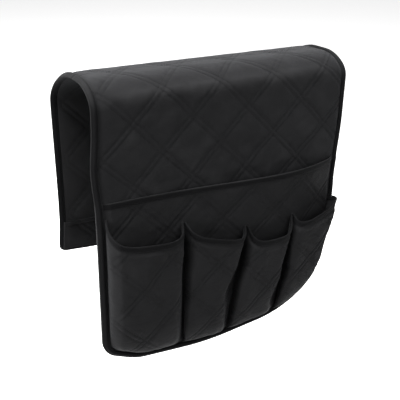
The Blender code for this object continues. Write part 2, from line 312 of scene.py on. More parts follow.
def woven(name, dark, light, yarn, roughness, sheen, wear_and_painted_light_colour, slub=1.0, gloss=0.02):
    """A woven finish.

    dark and light are the two ends of its mottling, yarn is the thread pitch, and the last colour is the
    one it takes on where its marks lie: real rubbing, painted highlights at tape folds, and painted shade
    in the folds between the small pockets.
    """
    look, tree, shader = new_look(name, Sheen_Weight=sheen, Sheen_Roughness=0.45,
                                  Sheen_Tint=(0.75, 0.76, 0.80, 1), Specular_IOR_Level=gloss)
    link = tree.links.new
    cut = node(tree, "ShaderNodeUVMap", "place on the cut cloth", uv_map=CUT_MAP)
    parts = node(tree, "ShaderNodeSeparateXYZ", "warp and weft")
    link(cut.outputs["UV"], parts.inputs[0])
    waves = []
    for axis, label in (("X", "warp"), ("Y", "weft")):
        turn = sums(tree, "MULTIPLY", label, parts.outputs[axis], math.pi / yarn)
        waves.append(sums(tree, "SINE", label, turn, 0))
    weave = sums(tree, "MULTIPLY", "over and under", *waves)
    stretch = node(tree, "ShaderNodeMapping", "along the yarn", Scale=(0.35 / yarn, 0.03 / yarn, 1))
    link(cut.outputs["UV"], stretch.inputs["Vector"])
    slubs = node(tree, "ShaderNodeTexNoise", "uneven yarn", Scale=1.0, Detail=3.0, Roughness=0.6)
    link(stretch.outputs[0], slubs.inputs["Vector"])
    uneven = sums(tree, "MULTIPLY", "slubs", slubs.outputs["Fac"], slub)
    height = sums(tree, "ADD", "yarn height", weave, uneven)
    place = node(tree, "ShaderNodeTexCoord", "place on the piece")
    mottle = node(tree, "ShaderNodeTexNoise", "mottling", Scale=26.0, Detail=5.0, Roughness=0.62)
    link(place.outputs["Object"], mottle.inputs["Vector"])
    grain = node(tree, "ShaderNodeTexNoise", "filament glints", Scale=900.0, Detail=2.0)
    link(place.outputs["Object"], grain.inputs["Vector"])
    spread = node(tree, "ShaderNodeMapRange", "mottling spread", From_Min=0.3, From_Max=0.7)
    both = sums(tree, "ADD", "mottling and glints", mottle.outputs["Fac"], grain.outputs["Fac"])
    link(sums(tree, "MULTIPLY", "half", both, 0.5), spread.inputs["Value"])
    colour = node(tree, "ShaderNodeMix", "dye", data_type="RGBA", A=(*dark, 1), B=(*light, 1))
    link(spread.outputs[0], colour.inputs["Factor"])
    # The marked places take the last colour: real rubbing, painted highlights at tape folds, and painted
    # shade between pockets.
    wear_and_painted_light_attribute = node(tree, "ShaderNodeAttribute", "wear and painted light", attribute_name=WEAR_AND_PAINTED_LIGHT)
    wear_and_painted_light_marks = node(tree, "ShaderNodeMix", "dye with wear and painted light", data_type="RGBA", B=(*wear_and_painted_light_colour, 1))
    link(colour.outputs["Result"], wear_and_painted_light_marks.inputs["A"])
    link(sums(tree, "MULTIPLY", "patchy wear and painted light", wear_and_painted_light_attribute.outputs["Fac"], mottle.outputs["Fac"]),
         wear_and_painted_light_marks.inputs["Factor"])
    link(wear_and_painted_light_marks.outputs["Result"], shader.inputs["Base Color"])
    dull = node(tree, "ShaderNodeMapRange", "uneven gloss", To_Min=roughness - 0.05,
                To_Max=roughness + 0.07)
    link(mottle.outputs["Fac"], dull.inputs["Value"])
    link(dull.outputs[0], shader.inputs["Roughness"])
    creases = node(tree, "ShaderNodeTexNoise", "fine creases", Scale=70.0, Detail=4.0, Distortion=0.6)
    link(place.outputs["Object"], creases.inputs["Vector"])
    soft = node(tree, "ShaderNodeBump", "soft creases", Strength=0.55, Distance=0.0009)
    link(creases.outputs["Fac"], soft.inputs["Height"])
    fine = node(tree, "ShaderNodeBump", "weave relief", Strength=0.5, Distance=0.00016)
    link(height, fine.inputs["Height"])
    link(soft.outputs[0], fine.inputs["Normal"])
    link(fine.outputs[0], shader.inputs["Normal"])
    return look


BODY_CLOTH = woven("body polyester", (0.0112, 0.0112, 0.0117), (0.0178, 0.0178, 0.0186), 0.00062, 0.52,
                   0.13, (0.036, 0.036, 0.037))


# The quilted body.
# Cover cloth over polyester wadding, quilted through with pairs of seams that cross in diamonds.  Each
# half of the strip, from the crown to its end, is one padded piece.
DIAMOND = 0.076
FIRST_FALLING = -0.0362
FIRST_RISING = -0.0594
PAIR = 0.0062
PUFF = 0.0010
SINK = 0.0029
GROOVE = 0.0004
GROOVE_WIDTH = 0.0014
PUCKER = 0.00022
PUCKER_LENGTH = 0.0095
EDGE_SINK = 0.0045
SEAM_SINK = 0.0026
TAPE_WIDTH = 0.008
LINING = 0.0008
LAYER_GAP = 0.0003
RUBBED_ABOVE = 0.75
RUBBED = 0.5
COVER_INSET = 0.0030
ARM_EDGE = -0.0535
ARM_EDGE_WIDTH = 0.0075
ARM_EDGE_RISE = 0.0015
CALM_BEFORE = (ARM_EDGE - 0.020, ARM_EDGE + 0.012)
CALM_BEHIND = (0.03, 0.09)
CROWN_CALM = 0.65
LOOSE_LUMPS = ((0.0007, 0.026, 5), (0.0003, 0.010, 8))
SLACK_TURNS = 64
SLACK_HEIGHT = 1.8
BODY_COLUMNS = 224
FRONT_ROWS = (132, 20)
FRONT_FINE_SHARE = 0.56
REAR_ROWS = (156, 8)
REAR_FINE_SHARE = 0.97
SEAM_FAMILIES = ((1, FIRST_FALLING), (-1, FIRST_RISING))


def slackness(across, along, seed, size):
    """A smooth random height from about -1 to 1 over the cloth, with lumps of the given size."""
    random = np.random.default_rng(seed)
    turns = random.uniform(0, 2 * math.pi, (SLACK_TURNS, SLACK_TURNS))
    across, along = np.broadcast_arrays(across, along)
    u = across / size + 17.3
    v = along / size + 31.7
    column, row = np.floor(u).astype(int), np.floor(v).astype(int)
    total = 0
    for right in (0, 1):
        for above in (0, 1):
            heading = turns[(row + above) % SLACK_TURNS, (column + right) % SLACK_TURNS]
            du, dv = u - column - right, v - row - above
            near = (1 - eased(np.abs(du), 0, 1)) * (1 - eased(np.abs(dv), 0, 1))
            total = total + near * (np.cos(heading) * du + np.sin(heading) * dv)
    return SLACK_HEIGHT * total


def slack_cloth(across, along, lumps):
    """The loose cloth's own height, from lumps of a given height, size and seed."""
    return sum(height * slackness(across, along, seed, size) for height, size, seed in lumps)


def seam_gap(across, along, slope, first):
    """Distance to the nearest seam of a family of pairs, and the distance along that seam."""
    offset = (along - slope * across - first) / math.sqrt(2)
    pitch = DIAMOND / math.sqrt(2)
    nearest = (offset + pitch / 2) % pitch - pitch / 2
    return np.abs(np.abs(nearest) - PAIR / 2), (along + slope * across) / math.sqrt(2)


def quilting(across, along, puff=PUFF, pucker=PUCKER):
    """Height of the quilted face: pillows between the seams, and puckers beside them."""
    pillow = 1.0
    ripple = 0.0
    groove = 0.0
    for slope, first in SEAM_FAMILIES:
        gap, run = seam_gap(across, along, slope, first)
        pillow = pillow * (1 - np.exp(-gap / SINK))
        beat = np.sin(2 * math.pi * run / PUCKER_LENGTH + 2 * np.sin(run / (3 * PUCKER_LENGTH)))
        ripple = ripple + beat * np.exp(-gap / SINK) * (1 - np.exp(-gap / (SINK / 4)))
        groove = np.maximum(groove, np.exp(-(gap / GROOVE_WIDTH) ** 2))
    return puff * pillow + pucker * ripple - GROOVE * puff / PUFF * groove


def free_of_tape(inside):
    """How free the cloth is of the binding that holds it, at distances in from the tape."""
    return 1 - np.exp(-np.clip(inside, 0, None) / EDGE_SINK)


def body_height(across, along, edge):
    """Relief of the outer face of the body, which sinks where the binding holds it."""
    inside = edge_distance(across, along, edge) - TAPE_WIDTH
    free = free_of_tape(inside)
    calm = 1 - CROWN_CALM * eased(along, *CALM_BEFORE) * (1 - eased(along, *CALM_BEHIND))
    over_arm = np.exp(-((along - ARM_EDGE) / ARM_EDGE_WIDTH) ** 2) * eased(inside, 0, 0.05)
    loose = (quilting(across, along) + slack_cloth(across, along, LOOSE_LUMPS)) * calm * free
    return loose + ARM_EDGE_RISE * over_arm - SEAM_SINK * (1 - free)


def placed(name, data):
    """An object of the scene with this mesh, lamp or camera."""
    made = bpy.data.objects.new(name, data)
    bpy.context.scene.collection.objects.link(made)
    return made


def closed_cloth(name, outer, inner, look, cut=None, wear_and_painted_light=None):
    """A closed mesh between two grids of points, with a map of the flat cut and its marks of wear and
    painted light.
    """
    rows, columns = outer.shape[:2]
    count = rows * columns
    index = np.arange(count).reshape(rows, columns)
    one, two = index[:-1, :-1].ravel(), index[:-1, 1:].ravel()
    three, four = index[1:, 1:].ravel(), index[1:, :-1].ravel()
    top = np.stack([one, two, three, four], 1)
    under = np.stack([one, four, three, two], 1) + count
    rim = np.concatenate([index[0, :], index[1:, -1], index[-1, -2::-1], index[-2:0:-1, 0]])
    after = np.roll(rim, -1)
    wall = np.stack([after, rim, rim + count, after + count], 1)
    faces = np.concatenate([top, under, wall])
    points = np.concatenate([outer.reshape(-1, 3), inner.reshape(-1, 3)])
    mesh = bpy.data.meshes.new(name)
    mesh.from_pydata(points.tolist(), [], faces.tolist())
    if cut is None:
        cut = cloth_map(outer)
    flat = np.concatenate([cut.reshape(-1, 2)] * 2)
    corners = np.zeros(len(mesh.loops), np.int32)
    mesh.loops.foreach_get("vertex_index", corners)
    mesh.uv_layers.new(name=CUT_MAP).data.foreach_set("uv", flat[corners].astype(np.float32).ravel())
    wear_and_painted_light_marks = np.zeros(count) if wear_and_painted_light is None else np.asarray(wear_and_painted_light).reshape(-1)
    marks = mesh.attributes.new(WEAR_AND_PAINTED_LIGHT, "FLOAT", "POINT")
    marks.data.foreach_set("value", np.concatenate([wear_and_painted_light_marks] * 2).astype(np.float32))
    mesh.shade_smooth()
    mesh.materials.append(look)
    piece = placed(name, mesh)
    if mean_volume(piece) < 0:
        mesh.flip_normals()
    return piece


def mean_volume(piece):
    """The mesh's signed volume, which is below zero where its faces point inwards."""
    mesh = piece.data
    mesh.calc_loop_triangles()
    corners = np.zeros(len(mesh.loop_triangles) * 3, np.int32)
    mesh.loop_triangles.foreach_get("vertices", corners)
    points = np.zeros(len(mesh.vertices) * 3, np.float32)
    mesh.vertices.foreach_get("co", points)
    a, b, c = points.reshape(-1, 3)[corners].astype(float).reshape(-1, 3, 3).transpose(1, 0, 2)
    return float((a * np.cross(b, c)).sum() / 6)


def cloth_map(grid):
    """Distances along the rows and columns of a grid, as places on the flat cut."""
    across = np.linalg.norm(np.diff(grid, axis=1), axis=2).mean(0)
    down = np.linalg.norm(np.diff(grid, axis=0), axis=2).mean(1)
    return np.stack(np.meshgrid(run_of(across), run_of(down)), -1)


def half_strip(edge, rows, fine_share, inset):
    """A grid of (across, along) over half of the strip, from the crown to an inset of its edge."""
    end = edge_along(edge, inset)
    half = HALF_WIDTH - inset
    even = np.linspace(-1, 1, BODY_COLUMNS + 1)
    across = half * (0.6 * even + 0.4 * np.sin(math.pi / 2 * even))
    fine = np.linspace(0, fine_share, rows[0] + 1)
    shares = np.concatenate([fine, np.linspace(fine_share, 1, rows[1] + 1)[1:]])
    return np.broadcast_to(across, (len(shares), len(across))), shares[:, None] * end(across)[None, :]


def bend(piece, flap, fold):
    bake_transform(piece)


FRONT_BEND = ("front_flap", FRONT_FOLD)
REAR_BEND = ("rear_flap", REAR_FOLD)


def quilted_half(name, edge, rows, fine_share, nodes, fold):
    across, along = half_strip(edge, rows, fine_share, COVER_INSET)
    height = body_height(across, along, edge)
    outer = on_strip(across, along, height)
    inner = on_strip(across, along, LINING + LAYER_GAP - STACK)
    # Only rubbing here: the highest pillow tops are rubbed paler.
    wear_and_painted_light = np.clip(height / PUFF - RUBBED_ABOVE, 0, 1) * RUBBED
    piece = closed_cloth(name, outer, inner, BODY_CLOTH, np.stack([across, along], -1), wear_and_painted_light)
    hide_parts(*nodes)
    bend(piece, *fold)


quilted_half("quilted_body_front", FRONT_EDGE, FRONT_ROWS, FRONT_FINE_SHARE,
             ("front_quilted_cover", "front_padding", "top_quilted_cover", "top_padding"), FRONT_BEND)
quilted_half("quilted_body_rear", REAR_EDGE, REAR_ROWS, REAR_FINE_SHARE,
             ("rear_quilted_cover", "rear_padding", "top_quilted_cover", "top_padding"), REAR_BEND)


# The quilting thread.
# Black polyester thread, in lockstitches of about 3 mm along both lines of each pair of seams.  A path
# goes over the pillows first, and the stitches are then laid on it one after another.
STITCH_PITCH = 0.0031
STITCH_LENGTH = 0.0025
THREAD = 0.00021
STITCH_SUNK = 0.9
STITCH_RISE = 2.6
ON_CLOTH = THREAD * 0.4
SEAM_STEP = 0.002
LEAST_RUN = 4
POCKET_LEAST_RUN = 6
HIDDEN_BELOW = -0.165


def thread_finish():
    look, tree, shader = new_look("sewing thread", Specular_IOR_Level=0.03)
    place = node(tree, "ShaderNodeTexCoord", "place on the piece")
    twist = node(tree, "ShaderNodeTexNoise", "twist of the thread", Scale=1500.0, Detail=2.0)
    tree.links.new(place.outputs["Object"], twist.inputs["Vector"])
    shade = node(tree, "ShaderNodeMix", "thread dye", data_type="RGBA",
                 A=(0.006, 0.006, 0.0065, 1), B=(0.013, 0.013, 0.0137, 1))
    tree.links.new(twist.outputs["Fac"], shade.inputs["Factor"])
    tree.links.new(shade.outputs["Result"], shader.inputs["Base Color"])
    gloss = node(tree, "ShaderNodeMapRange", "thread gloss", To_Min=0.38, To_Max=0.55)
    tree.links.new(twist.outputs["Fac"], gloss.inputs["Value"])
    tree.links.new(gloss.outputs[0], shader.inputs["Roughness"])
    bump = node(tree, "ShaderNodeBump", "ply of the thread", Strength=0.5, Distance=0.00006)
    tree.links.new(twist.outputs["Fac"], bump.inputs["Height"])
    tree.links.new(bump.outputs[0], shader.inputs["Normal"])
    return look


THREAD_LOOK = thread_finish()


def stitch_tree():
    """Stitches along the edges of a mesh, lying on the face whose way out is stored as 'out'."""
    tree = bpy.data.node_groups.new("lockstitch", "GeometryNodeTree")
    link = tree.links.new
    given_kinds = {"Seam": "Geometry", "Pitch": "Float", "Length": "Float", "Thread": "Float",
                   "Look": "Material"}
    for name, kind in given_kinds.items():
        tree.interface.new_socket(name, in_out="INPUT", socket_type="NodeSocket" + kind)
    tree.interface.new_socket("Stitches", in_out="OUTPUT", socket_type="NodeSocketGeometry")
    given = tree.nodes.new("NodeGroupInput").outputs
    line = node(tree, "GeometryNodeMeshToCurve", "seam line")
    link(given["Seam"], line.inputs[0])
    spaced = node(tree, "GeometryNodeCurveToPoints", "places of the stitches", mode="LENGTH")
    link(line.outputs[0], spaced.inputs["Curve"])
    link(given["Pitch"], spaced.inputs["Length"])
    arch = node(tree, "GeometryNodeCurveQuadraticBezier", "one stitch", Resolution=3)
    for socket, share, rise in (("Start", -0.5, -STITCH_SUNK), ("Middle", 0, STITCH_RISE),
                                ("End", 0.5, -STITCH_SUNK)):
        spot = node(tree, "ShaderNodeCombineXYZ", "place on the stitch")
        link(sums(tree, "MULTIPLY", "along", given["Length"], share), spot.inputs["X"])
        link(sums(tree, "MULTIPLY", "out", given["Thread"], rise), spot.inputs["Z"])
        link(spot.outputs[0], arch.inputs[socket])
    ring = node(tree, "GeometryNodeCurvePrimitiveCircle", "thread section", Resolution=5)
    link(given["Thread"], ring.inputs["Radius"])
    tube = node(tree, "GeometryNodeCurveToMesh", "thread", Fill_Caps=True)
    link(arch.outputs[0], tube.inputs["Curve"])
    link(ring.outputs[0], tube.inputs["Profile Curve"])
    smooth = node(tree, "GeometryNodeSetShadeSmooth", "smooth thread")
    link(tube.outputs[0], smooth.inputs[0])
    forward = node(tree, "FunctionNodeAlignRotationToVector", "along the seam", axis="X")
    link(spaced.outputs["Tangent"], forward.inputs["Vector"])
    stored = node(tree, "GeometryNodeInputNamedAttribute", "way out", data_type="FLOAT_VECTOR", Name="out")
    upright = node(tree, "FunctionNodeAlignRotationToVector", "out of the cloth", axis="Z", pivot_axis="X")
    link(forward.outputs[0], upright.inputs["Rotation"])
    link(stored.outputs["Attribute"], upright.inputs["Vector"])
    uneven = node(tree, "FunctionNodeRandomValue", "uneven stitches", data_type="FLOAT", Seed=11)
    uneven.inputs[2].default_value = 0.88
    uneven.inputs[3].default_value = 1.06
    laid = node(tree, "GeometryNodeInstanceOnPoints", "stitches")
    link(spaced.outputs["Points"], laid.inputs["Points"])
    link(smooth.outputs[0], laid.inputs["Instance"])
    link(upright.outputs[0], laid.inputs["Rotation"])
    link(uneven.outputs[1], laid.inputs["Scale"])
    real = node(tree, "GeometryNodeRealizeInstances", "real stitches")
    link(laid.outputs[0], real.inputs[0])
    dressed = node(tree, "GeometryNodeSetMaterial", "thread finish")
    link(real.outputs[0], dressed.inputs["Geometry"])
    link(given["Look"], dressed.inputs["Material"])
    link(dressed.outputs[0], tree.nodes.new("NodeGroupOutput").inputs[0])
    return tree


STITCHES = stitch_tree()


def sew(name, seams):
    """Lay stitches along seams; each seam is a pair of arrays, its points and their ways out."""
    points = np.concatenate([seam[0] for seam in seams])
    ways = np.concatenate([seam[1] for seam in seams])
    starts = np.cumsum([0] + [len(seam[0]) for seam in seams])
    edges = [(i, i + 1) for a, b in zip(starts, starts[1:]) for i in range(a, b - 1)]
    mesh = bpy.data.meshes.new(name + "_seams")
    mesh.from_pydata(points.tolist(), edges, [])
    out = mesh.attributes.new("out", "FLOAT_VECTOR", "POINT")
    out.data.foreach_set("vector", ways.astype(np.float32).ravel())
    guide = placed(name + "_seams", mesh)
    modifier = guide.modifiers.new("lockstitch", "NODES")
    modifier.node_group = STITCHES
    values = {"Pitch": STITCH_PITCH, "Length": STITCH_LENGTH, "Thread": THREAD, "Look": THREAD_LOOK}
    for item in STITCHES.interface.items_tree:
        if item.in_out == "INPUT" and item.name in values:
            modifier[item.identifier] = values[item.name]
    settled = guide.evaluated_get(bpy.context.evaluated_depsgraph_get())
    sewn = bpy.data.meshes.new_from_object(settled)
    bpy.data.objects.remove(guide)
    if THREAD_LOOK.name not in sewn.materials:
        sewn.materials.append(THREAD_LOOK)
    return placed(name, sewn)


def runs(keep, least=LEAST_RUN):
    """Start and end of each unbroken run of true values that is long enough to sew."""
    marks = np.flatnonzero(np.diff(np.concatenate([[0], keep.astype(int), [0]])))
    return [(start, end) for start, end in marks.reshape(-1, 2) if end - start >= least]


def quilt_lines(low, high):
    """Both lines of every pair of seams whose along values lie between low and high."""
    reach = abs(high - low) + 2 * HALF_WIDTH
    for slope, first in SEAM_FAMILIES:
        start = math.floor((low - reach - first) / DIAMOND)
        for number in range(start, math.ceil((high + reach - first) / DIAMOND) + 1):
            for side in (-1, 1):
                offset = first + number * DIAMOND + side * PAIR / math.sqrt(2)
                across = np.arange(-HALF_WIDTH, HALF_WIDTH, SEAM_STEP / math.sqrt(2))
                along = offset + slope * across
                yield across, along


def quilt_seams(edge, low, high):
    seams = []
    for across, along in quilt_lines(low, high):
        inside = edge_distance(across, along, edge) > TAPE_WIDTH + 0.001
        keep = inside & (along > low) & (along < high)
        for start, end in runs(keep):
            x, s = across[start:end], along[start:end]
            out = np.zeros((len(x), 3))
            out[:, 1:] = path_way(s)[1]
            seams.append((on_strip(x, s, body_height(x, s, edge) + ON_CLOTH), out))
    return seams


shown_from = float(front_along(HIDDEN_BELOW))
bend(sew("quilting_thread_front", quilt_seams(FRONT_EDGE, shown_from, 0)), *FRONT_BEND)
bend(sew("quilting_thread_rear", quilt_seams(REAR_EDGE, 0, REAR_LENGTH)), *REAR_BEND)


# The lining.
# A thin black cloth on the inner side, which lies on the arm.  It is caught by the quilting seams, so
# it shows them faintly, and by the binding all round.
LINING_LOOK = woven("lining polyester", (0.0195, 0.0195, 0.0202), (0.0250, 0.0250, 0.0258), 0.00055, 0.55,
                    0.10, (0.03, 0.03, 0.031))
LINING_INSET = 0.0040
LINING_PUFF = 0.0007
LINING_PUCKER = 0.0001
LINING_LIFT = 0.0003
LINING_FRONT_ROWS = (90, 20)
LINING_REAR_ROWS = (110, 8)
LINING_LUMPS = ((0.0004, 0.028, 15),)


def lining_height(across, along, edge):
    """Relief of the lining, into the space under the arm."""
    slack = slack_cloth(across, along, LINING_LUMPS)
    relief = quilting(across, along, LINING_PUFF, LINING_PUCKER) + slack + LINING_LIFT
    return relief * free_of_tape(edge_distance(across, along, edge) - TAPE_WIDTH)


def lining_half(name, edge, rows, fine_share, nodes, fold):
    across, along = half_strip(edge, rows, fine_share, LINING_INSET)
    height = lining_height(across, along, edge)
    inner = on_strip(across, along, -STACK - height)
    outer = on_strip(across, along, LINING - STACK - height)
    piece = closed_cloth(name, outer, inner, LINING_LOOK, np.stack([across, along], -1))
    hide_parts(*nodes)
    bend(piece, *fold)


lining_half("lining_front", FRONT_EDGE, LINING_FRONT_ROWS, FRONT_FINE_SHARE,
            ("front_lining", "top_lining"), FRONT_BEND)
lining_half("lining_rear", REAR_EDGE, LINING_REAR_ROWS, REAR_FINE_SHARE,
            ("rear_lining", "top_lining"), REAR_BEND)


# The edge binding.
# A woven tape folded over the raw edges of the three layers and sewn through, all the way round.  It
# swells over the wadding and sinks at its seam.  It is painted paler at its fold and where it lies over
# the arm: partly real rubbing, partly a painted highlight.
# Its last colour is the pale of the tape's rubbing and of its painted highlight.
TAPE_LOOK = woven("binding tape", (0.0040, 0.0040, 0.0043), (0.0072, 0.0072, 0.0076), 0.00085, 0.52,
                  0.03, (0.050, 0.050, 0.051), slub=0.6, gloss=0.015)
TAPE = 0.0008
TAPE_SEAM_DROP = 0.0012
TAPE_SWELL = 0.0021
TAPE_BACK_SWELL = 0.0006
TAPE_NOSE = 0.0014
TAPE_FOLD_REACH = 0.0010
# Rubbed pale with a painted highlight: all over the tape where it lies on the arm, and along its folds.
ARM_WEAR_AND_HIGHLIGHT = 0.32
ARM_WEAR_AND_HIGHLIGHT_BEFORE = (ARM_EDGE - 0.018, ARM_EDGE + 0.012)
ARM_WEAR_AND_HIGHLIGHT_BEHIND = (0.05, 0.09)
FRONT_FOLD_WEAR_AND_HIGHLIGHT = 0.3
REAR_FOLD_WEAR_AND_HIGHLIGHT = 0.1
FOLD_STEPS = 7
LEG_STEPS = 8
TAPE_SEAM_SHARE = 0.84
MOUTH_DROP = 0.137
MOUTH = CROWN - MOUTH_DROP
POCKET_LAYER = 0.0011


def folded_section(front, back, width, thickness, nose, swells):
    """Outer and inner lines of a folded tape, as rows of (in from the edge, out of the face)."""
    middle = (front + back) / 2
    leg = np.linspace(0, 1, LEG_STEPS, endpoint=False)
    start = width - (width - nose) * leg
    above = front + (middle + nose - front) * leg + swells[0] * np.sin(math.pi * leg)
    below = back + (middle - nose - back) * leg - swells[1] * np.sin(math.pi * leg)
    turn = np.linspace(math.pi / 2, 3 * math.pi / 2, FOLD_STEPS)
    lines = []
    for shrink in (0, thickness):
        upper = np.stack([start, above - shrink], 1)
        bend = np.array([nose, middle]) + (nose - shrink) * np.stack([np.cos(turn), np.sin(turn)], 1)
        lower = np.stack([start, below + shrink], 1)[::-1]
        lines.append(np.concatenate([upper, bend, lower]))
    return lines


def swept(points, inwards, outwards, section, lift=None):
    """A section carried along stations, with its front leg moved out by the lift at each station."""
    on_front = np.arange(len(section)) < len(section) / 2
    extra = 0 if lift is None else lift[:, None] * on_front[None, :]
    rise = section[:, 1][None, :] + extra
    return (points[:, None] + inwards[:, None] * section[:, 0][None, :, None]
            + outwards[:, None] * rise[..., None])


def edge_stations(edge):
    """Points on the strip's finished edge, with the ways in across the cloth and out of its face."""
    left = left_of(edge)
    way, away = path_way(edge[:, 1])
    inwards = np.column_stack([left[:, 0], left[:, 1:] * way])
    outwards = np.column_stack([np.zeros(len(edge)), away])
    return on_strip(edge[:, 0], edge[:, 1]), inwards, outwards


def tape_wear_and_highlight(section, edge, fold_wear_and_highlight):
    """Rubbing and painted highlight on a folded tape: where it turns over the edge, and all of it where it
    lies on the arm.
    """
    near = np.exp(-(section[:, 0] / TAPE_FOLD_REACH) ** 2)
    on_arm = eased(edge[:, 1], *ARM_WEAR_AND_HIGHLIGHT_BEFORE) * (1 - eased(edge[:, 1], *ARM_WEAR_AND_HIGHLIGHT_BEHIND))
    return np.maximum(fold_wear_and_highlight * near[None, :], ARM_WEAR_AND_HIGHLIGHT * on_arm[:, None])


def bind(name, edge, nodes, fold, lift, fold_wear_and_highlight):
    section, lining = folded_section(-TAPE_SEAM_DROP, -STACK, TAPE_WIDTH, TAPE, TAPE_NOSE,
                                     (TAPE_SWELL, TAPE_BACK_SWELL))
    stations = edge_stations(edge)
    piece = closed_cloth(name, swept(*stations, section, lift), swept(*stations, lining, lift),
                         TAPE_LOOK, wear_and_painted_light=tape_wear_and_highlight(section, edge, fold_wear_and_highlight))
    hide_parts(*nodes)
    bend(piece, *fold)
    points, inwards, outwards = stations
    seam = TAPE_WIDTH * TAPE_SEAM_SHARE
    face = np.interp(-seam, -section[:LEG_STEPS, 0], section[:LEG_STEPS, 1]) + lift + ON_CLOTH
    back = np.interp(seam, section[-LEG_STEPS:, 0], section[-LEG_STEPS:, 1]) - ON_CLOTH
    inset = inwards * seam
    seams = [(points + inset + outwards * face[:, None], outwards),
             (points + inset + outwards * back, -outwards)]
    bend(sew(name + "_thread", seams), *fold)


mouth_along = float(front_along(MOUTH))
past_mouth = mouth_along - FRONT_EDGE[:, 1]
below_mouth = eased(past_mouth, -0.004, 0.006)
on_foot = eased(past_mouth, 0.020, 0.050)
# The binding's fold is painted paler, more at the front than behind: a painted highlight with some
# rubbing.
bind("edge_binding_front", FRONT_EDGE, ("front_binding", "top_binding_left", "top_binding_right"),
     FRONT_BEND, POCKET_LAYER * (below_mouth + on_foot), FRONT_FOLD_WEAR_AND_HIGHLIGHT)
bind("edge_binding_rear", REAR_EDGE, ("rear_binding", "top_binding_left", "top_binding_right"),
     REAR_BEND, np.zeros(len(REAR_EDGE)), REAR_FOLD_WEAR_AND_HIGHLIGHT)


# The hem facing behind.
# A strip of pocket cloth sewn on the lining along the rear flap's foot, quilted through.  Its upper
# edge is turned under and held by two rows of stitches.
# Its last colour is the near black of the painted shade in the folds between the small pockets.
POCKET_LOOK = woven("pocket polyester", (0.0122, 0.0122, 0.0127), (0.0186, 0.0186, 0.0194), 0.00062, 0.54,
                    0.03, (0.0015, 0.0015, 0.0016))
FACING_HEIGHT = 0.0395
FACING = 0.0008
FACING_STAND = 0.0010
FACING_INSET = 0.005
FACING_LIFT = 0.0008
FACING_TURN = 0.0007
FACING_TURN_REACH = 0.004
FACING_DIP = 0.0012
FACING_DIP_REACH = 0.0013
FACING_PUCKER = 0.0002
FACING_LUMPS = ((0.0003, 0.014, 3),)
FACING_COLUMNS = 140
FACING_ROWS = 24
FACING_SEAM_ROWS = (1, 4)


def hem_facing():
    end = HALF_WIDTH - FACING_INSET
    columns = np.linspace(-end, end, FACING_COLUMNS + 1)
    top = REAR_LENGTH - TAPE_WIDTH - FACING_HEIGHT
    rows = np.linspace(top, REAR_LENGTH - FACING_INSET, FACING_ROWS + 1)
    across, along = np.meshgrid(columns, rows)
    turned = FACING_TURN * np.exp(-((along - top) / FACING_TURN_REACH) ** 2)
    lower_seam = rows[FACING_SEAM_ROWS[1]]
    dip = FACING_DIP * np.exp(-((along - lower_seam) / FACING_DIP_REACH) ** 2)
    slack = slack_cloth(across, along, FACING_LUMPS)
    relief = FACING_LIFT + turned + slack + quilting(across, along, PUFF, FACING_PUCKER) - dip
    rise = relief * free_of_tape(edge_distance(across, along, REAR_EDGE) - TAPE_WIDTH)
    inner = on_strip(across, along, -STACK - FACING_STAND - rise)
    outer = on_strip(across, along, -STACK - FACING_STAND - rise + FACING)
    piece = closed_cloth("hem_facing", outer, inner, POCKET_LOOK, np.stack([across, along], -1))
    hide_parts("rear_hem_facing")
    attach(piece, "rear_flap")
    seams = []
    for row in FACING_SEAM_ROWS:
        out = np.zeros((len(columns), 3))
        out[:, 1:] = -path_way(np.full(len(columns), rows[row]))[1]
        line = inner[row] + out * ON_CLOTH
        seams.append((line[2:-2], out[2:-2]))
    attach(sew("hem_facing_thread", seams), "rear_flap")


hem_facing()


# The large flat pocket.
# One sheet of lightly quilted cloth over the lower front, caught in the binding at its sides and foot.
# Its mouth stands open, most to the right of the middle, and is bound with tape.
MOUTH_BULGE = 0.020
MOUTH_PEAK_SHARE = 0.72
BULGE_FADE_POWER = 1.6
POCKET_CLOTH = 0.0008
PANEL_FRONT = 0.0022
PANEL_INSET = 0.0030
PANEL_CAUGHT = 0.0034
PANEL_COLUMNS = 214
PANEL_ROWS = 132
PANEL_PUFF = 0.0008
PANEL_PUCKER = 0.00015
PANEL_SHIFT = 0.026
PANEL_LUMPS = ((0.0007, 0.028, 21), (0.0003, 0.010, 24))
PANEL_SEAMS_ABOVE = 0.10
SEWN_INSET = 0.0065
CAUGHT_REACH = (0.008, 0.018)
HEM_WIDTH = 0.007
HEM_PROUD = 0.0008
HEM_OVERLAP = 0.0011
HEM_THREAD = 0.0002
HEM_SWELLS = (0.0003, 0.0003)
# Rubbed pale with a painted highlight along the folds of the hem tapes.
MOUTH_FOLD_WEAR_AND_HIGHLIGHT = 0.5
RIM_FOLD_WEAR_AND_HIGHLIGHT = 0.15
MOUTH_TAPE_INSET = 6
front_end = edge_along(FRONT_EDGE, SEWN_INSET)
front_hem = edge_along(FRONT_EDGE, PANEL_INSET)


def height_at(along):
    return np.interp(along, PATH[:, 0], PATH[:, 2])


def panel_stand(across, height):
    """How far the large pocket's cloth stands off the body."""
    half = HALF_WIDTH - SEWN_INSET
    share = np.clip((across + half) / (2 * half), 0, 1)
    peak = math.log(0.5) / math.log(MOUTH_PEAK_SHARE)
    plan = np.sin(math.pi * share ** peak)
    foot = height_at(front_end(across))
    up = np.clip((height - foot) / (MOUTH - foot), 0, 1)
    near = edge_distance(across, front_along(height), FRONT_EDGE)
    caught = 1 - eased(near, *CAUGHT_REACH)
    return PANEL_FRONT - PANEL_CAUGHT * caught + MOUTH_BULGE * plan * up ** BULGE_FADE_POWER


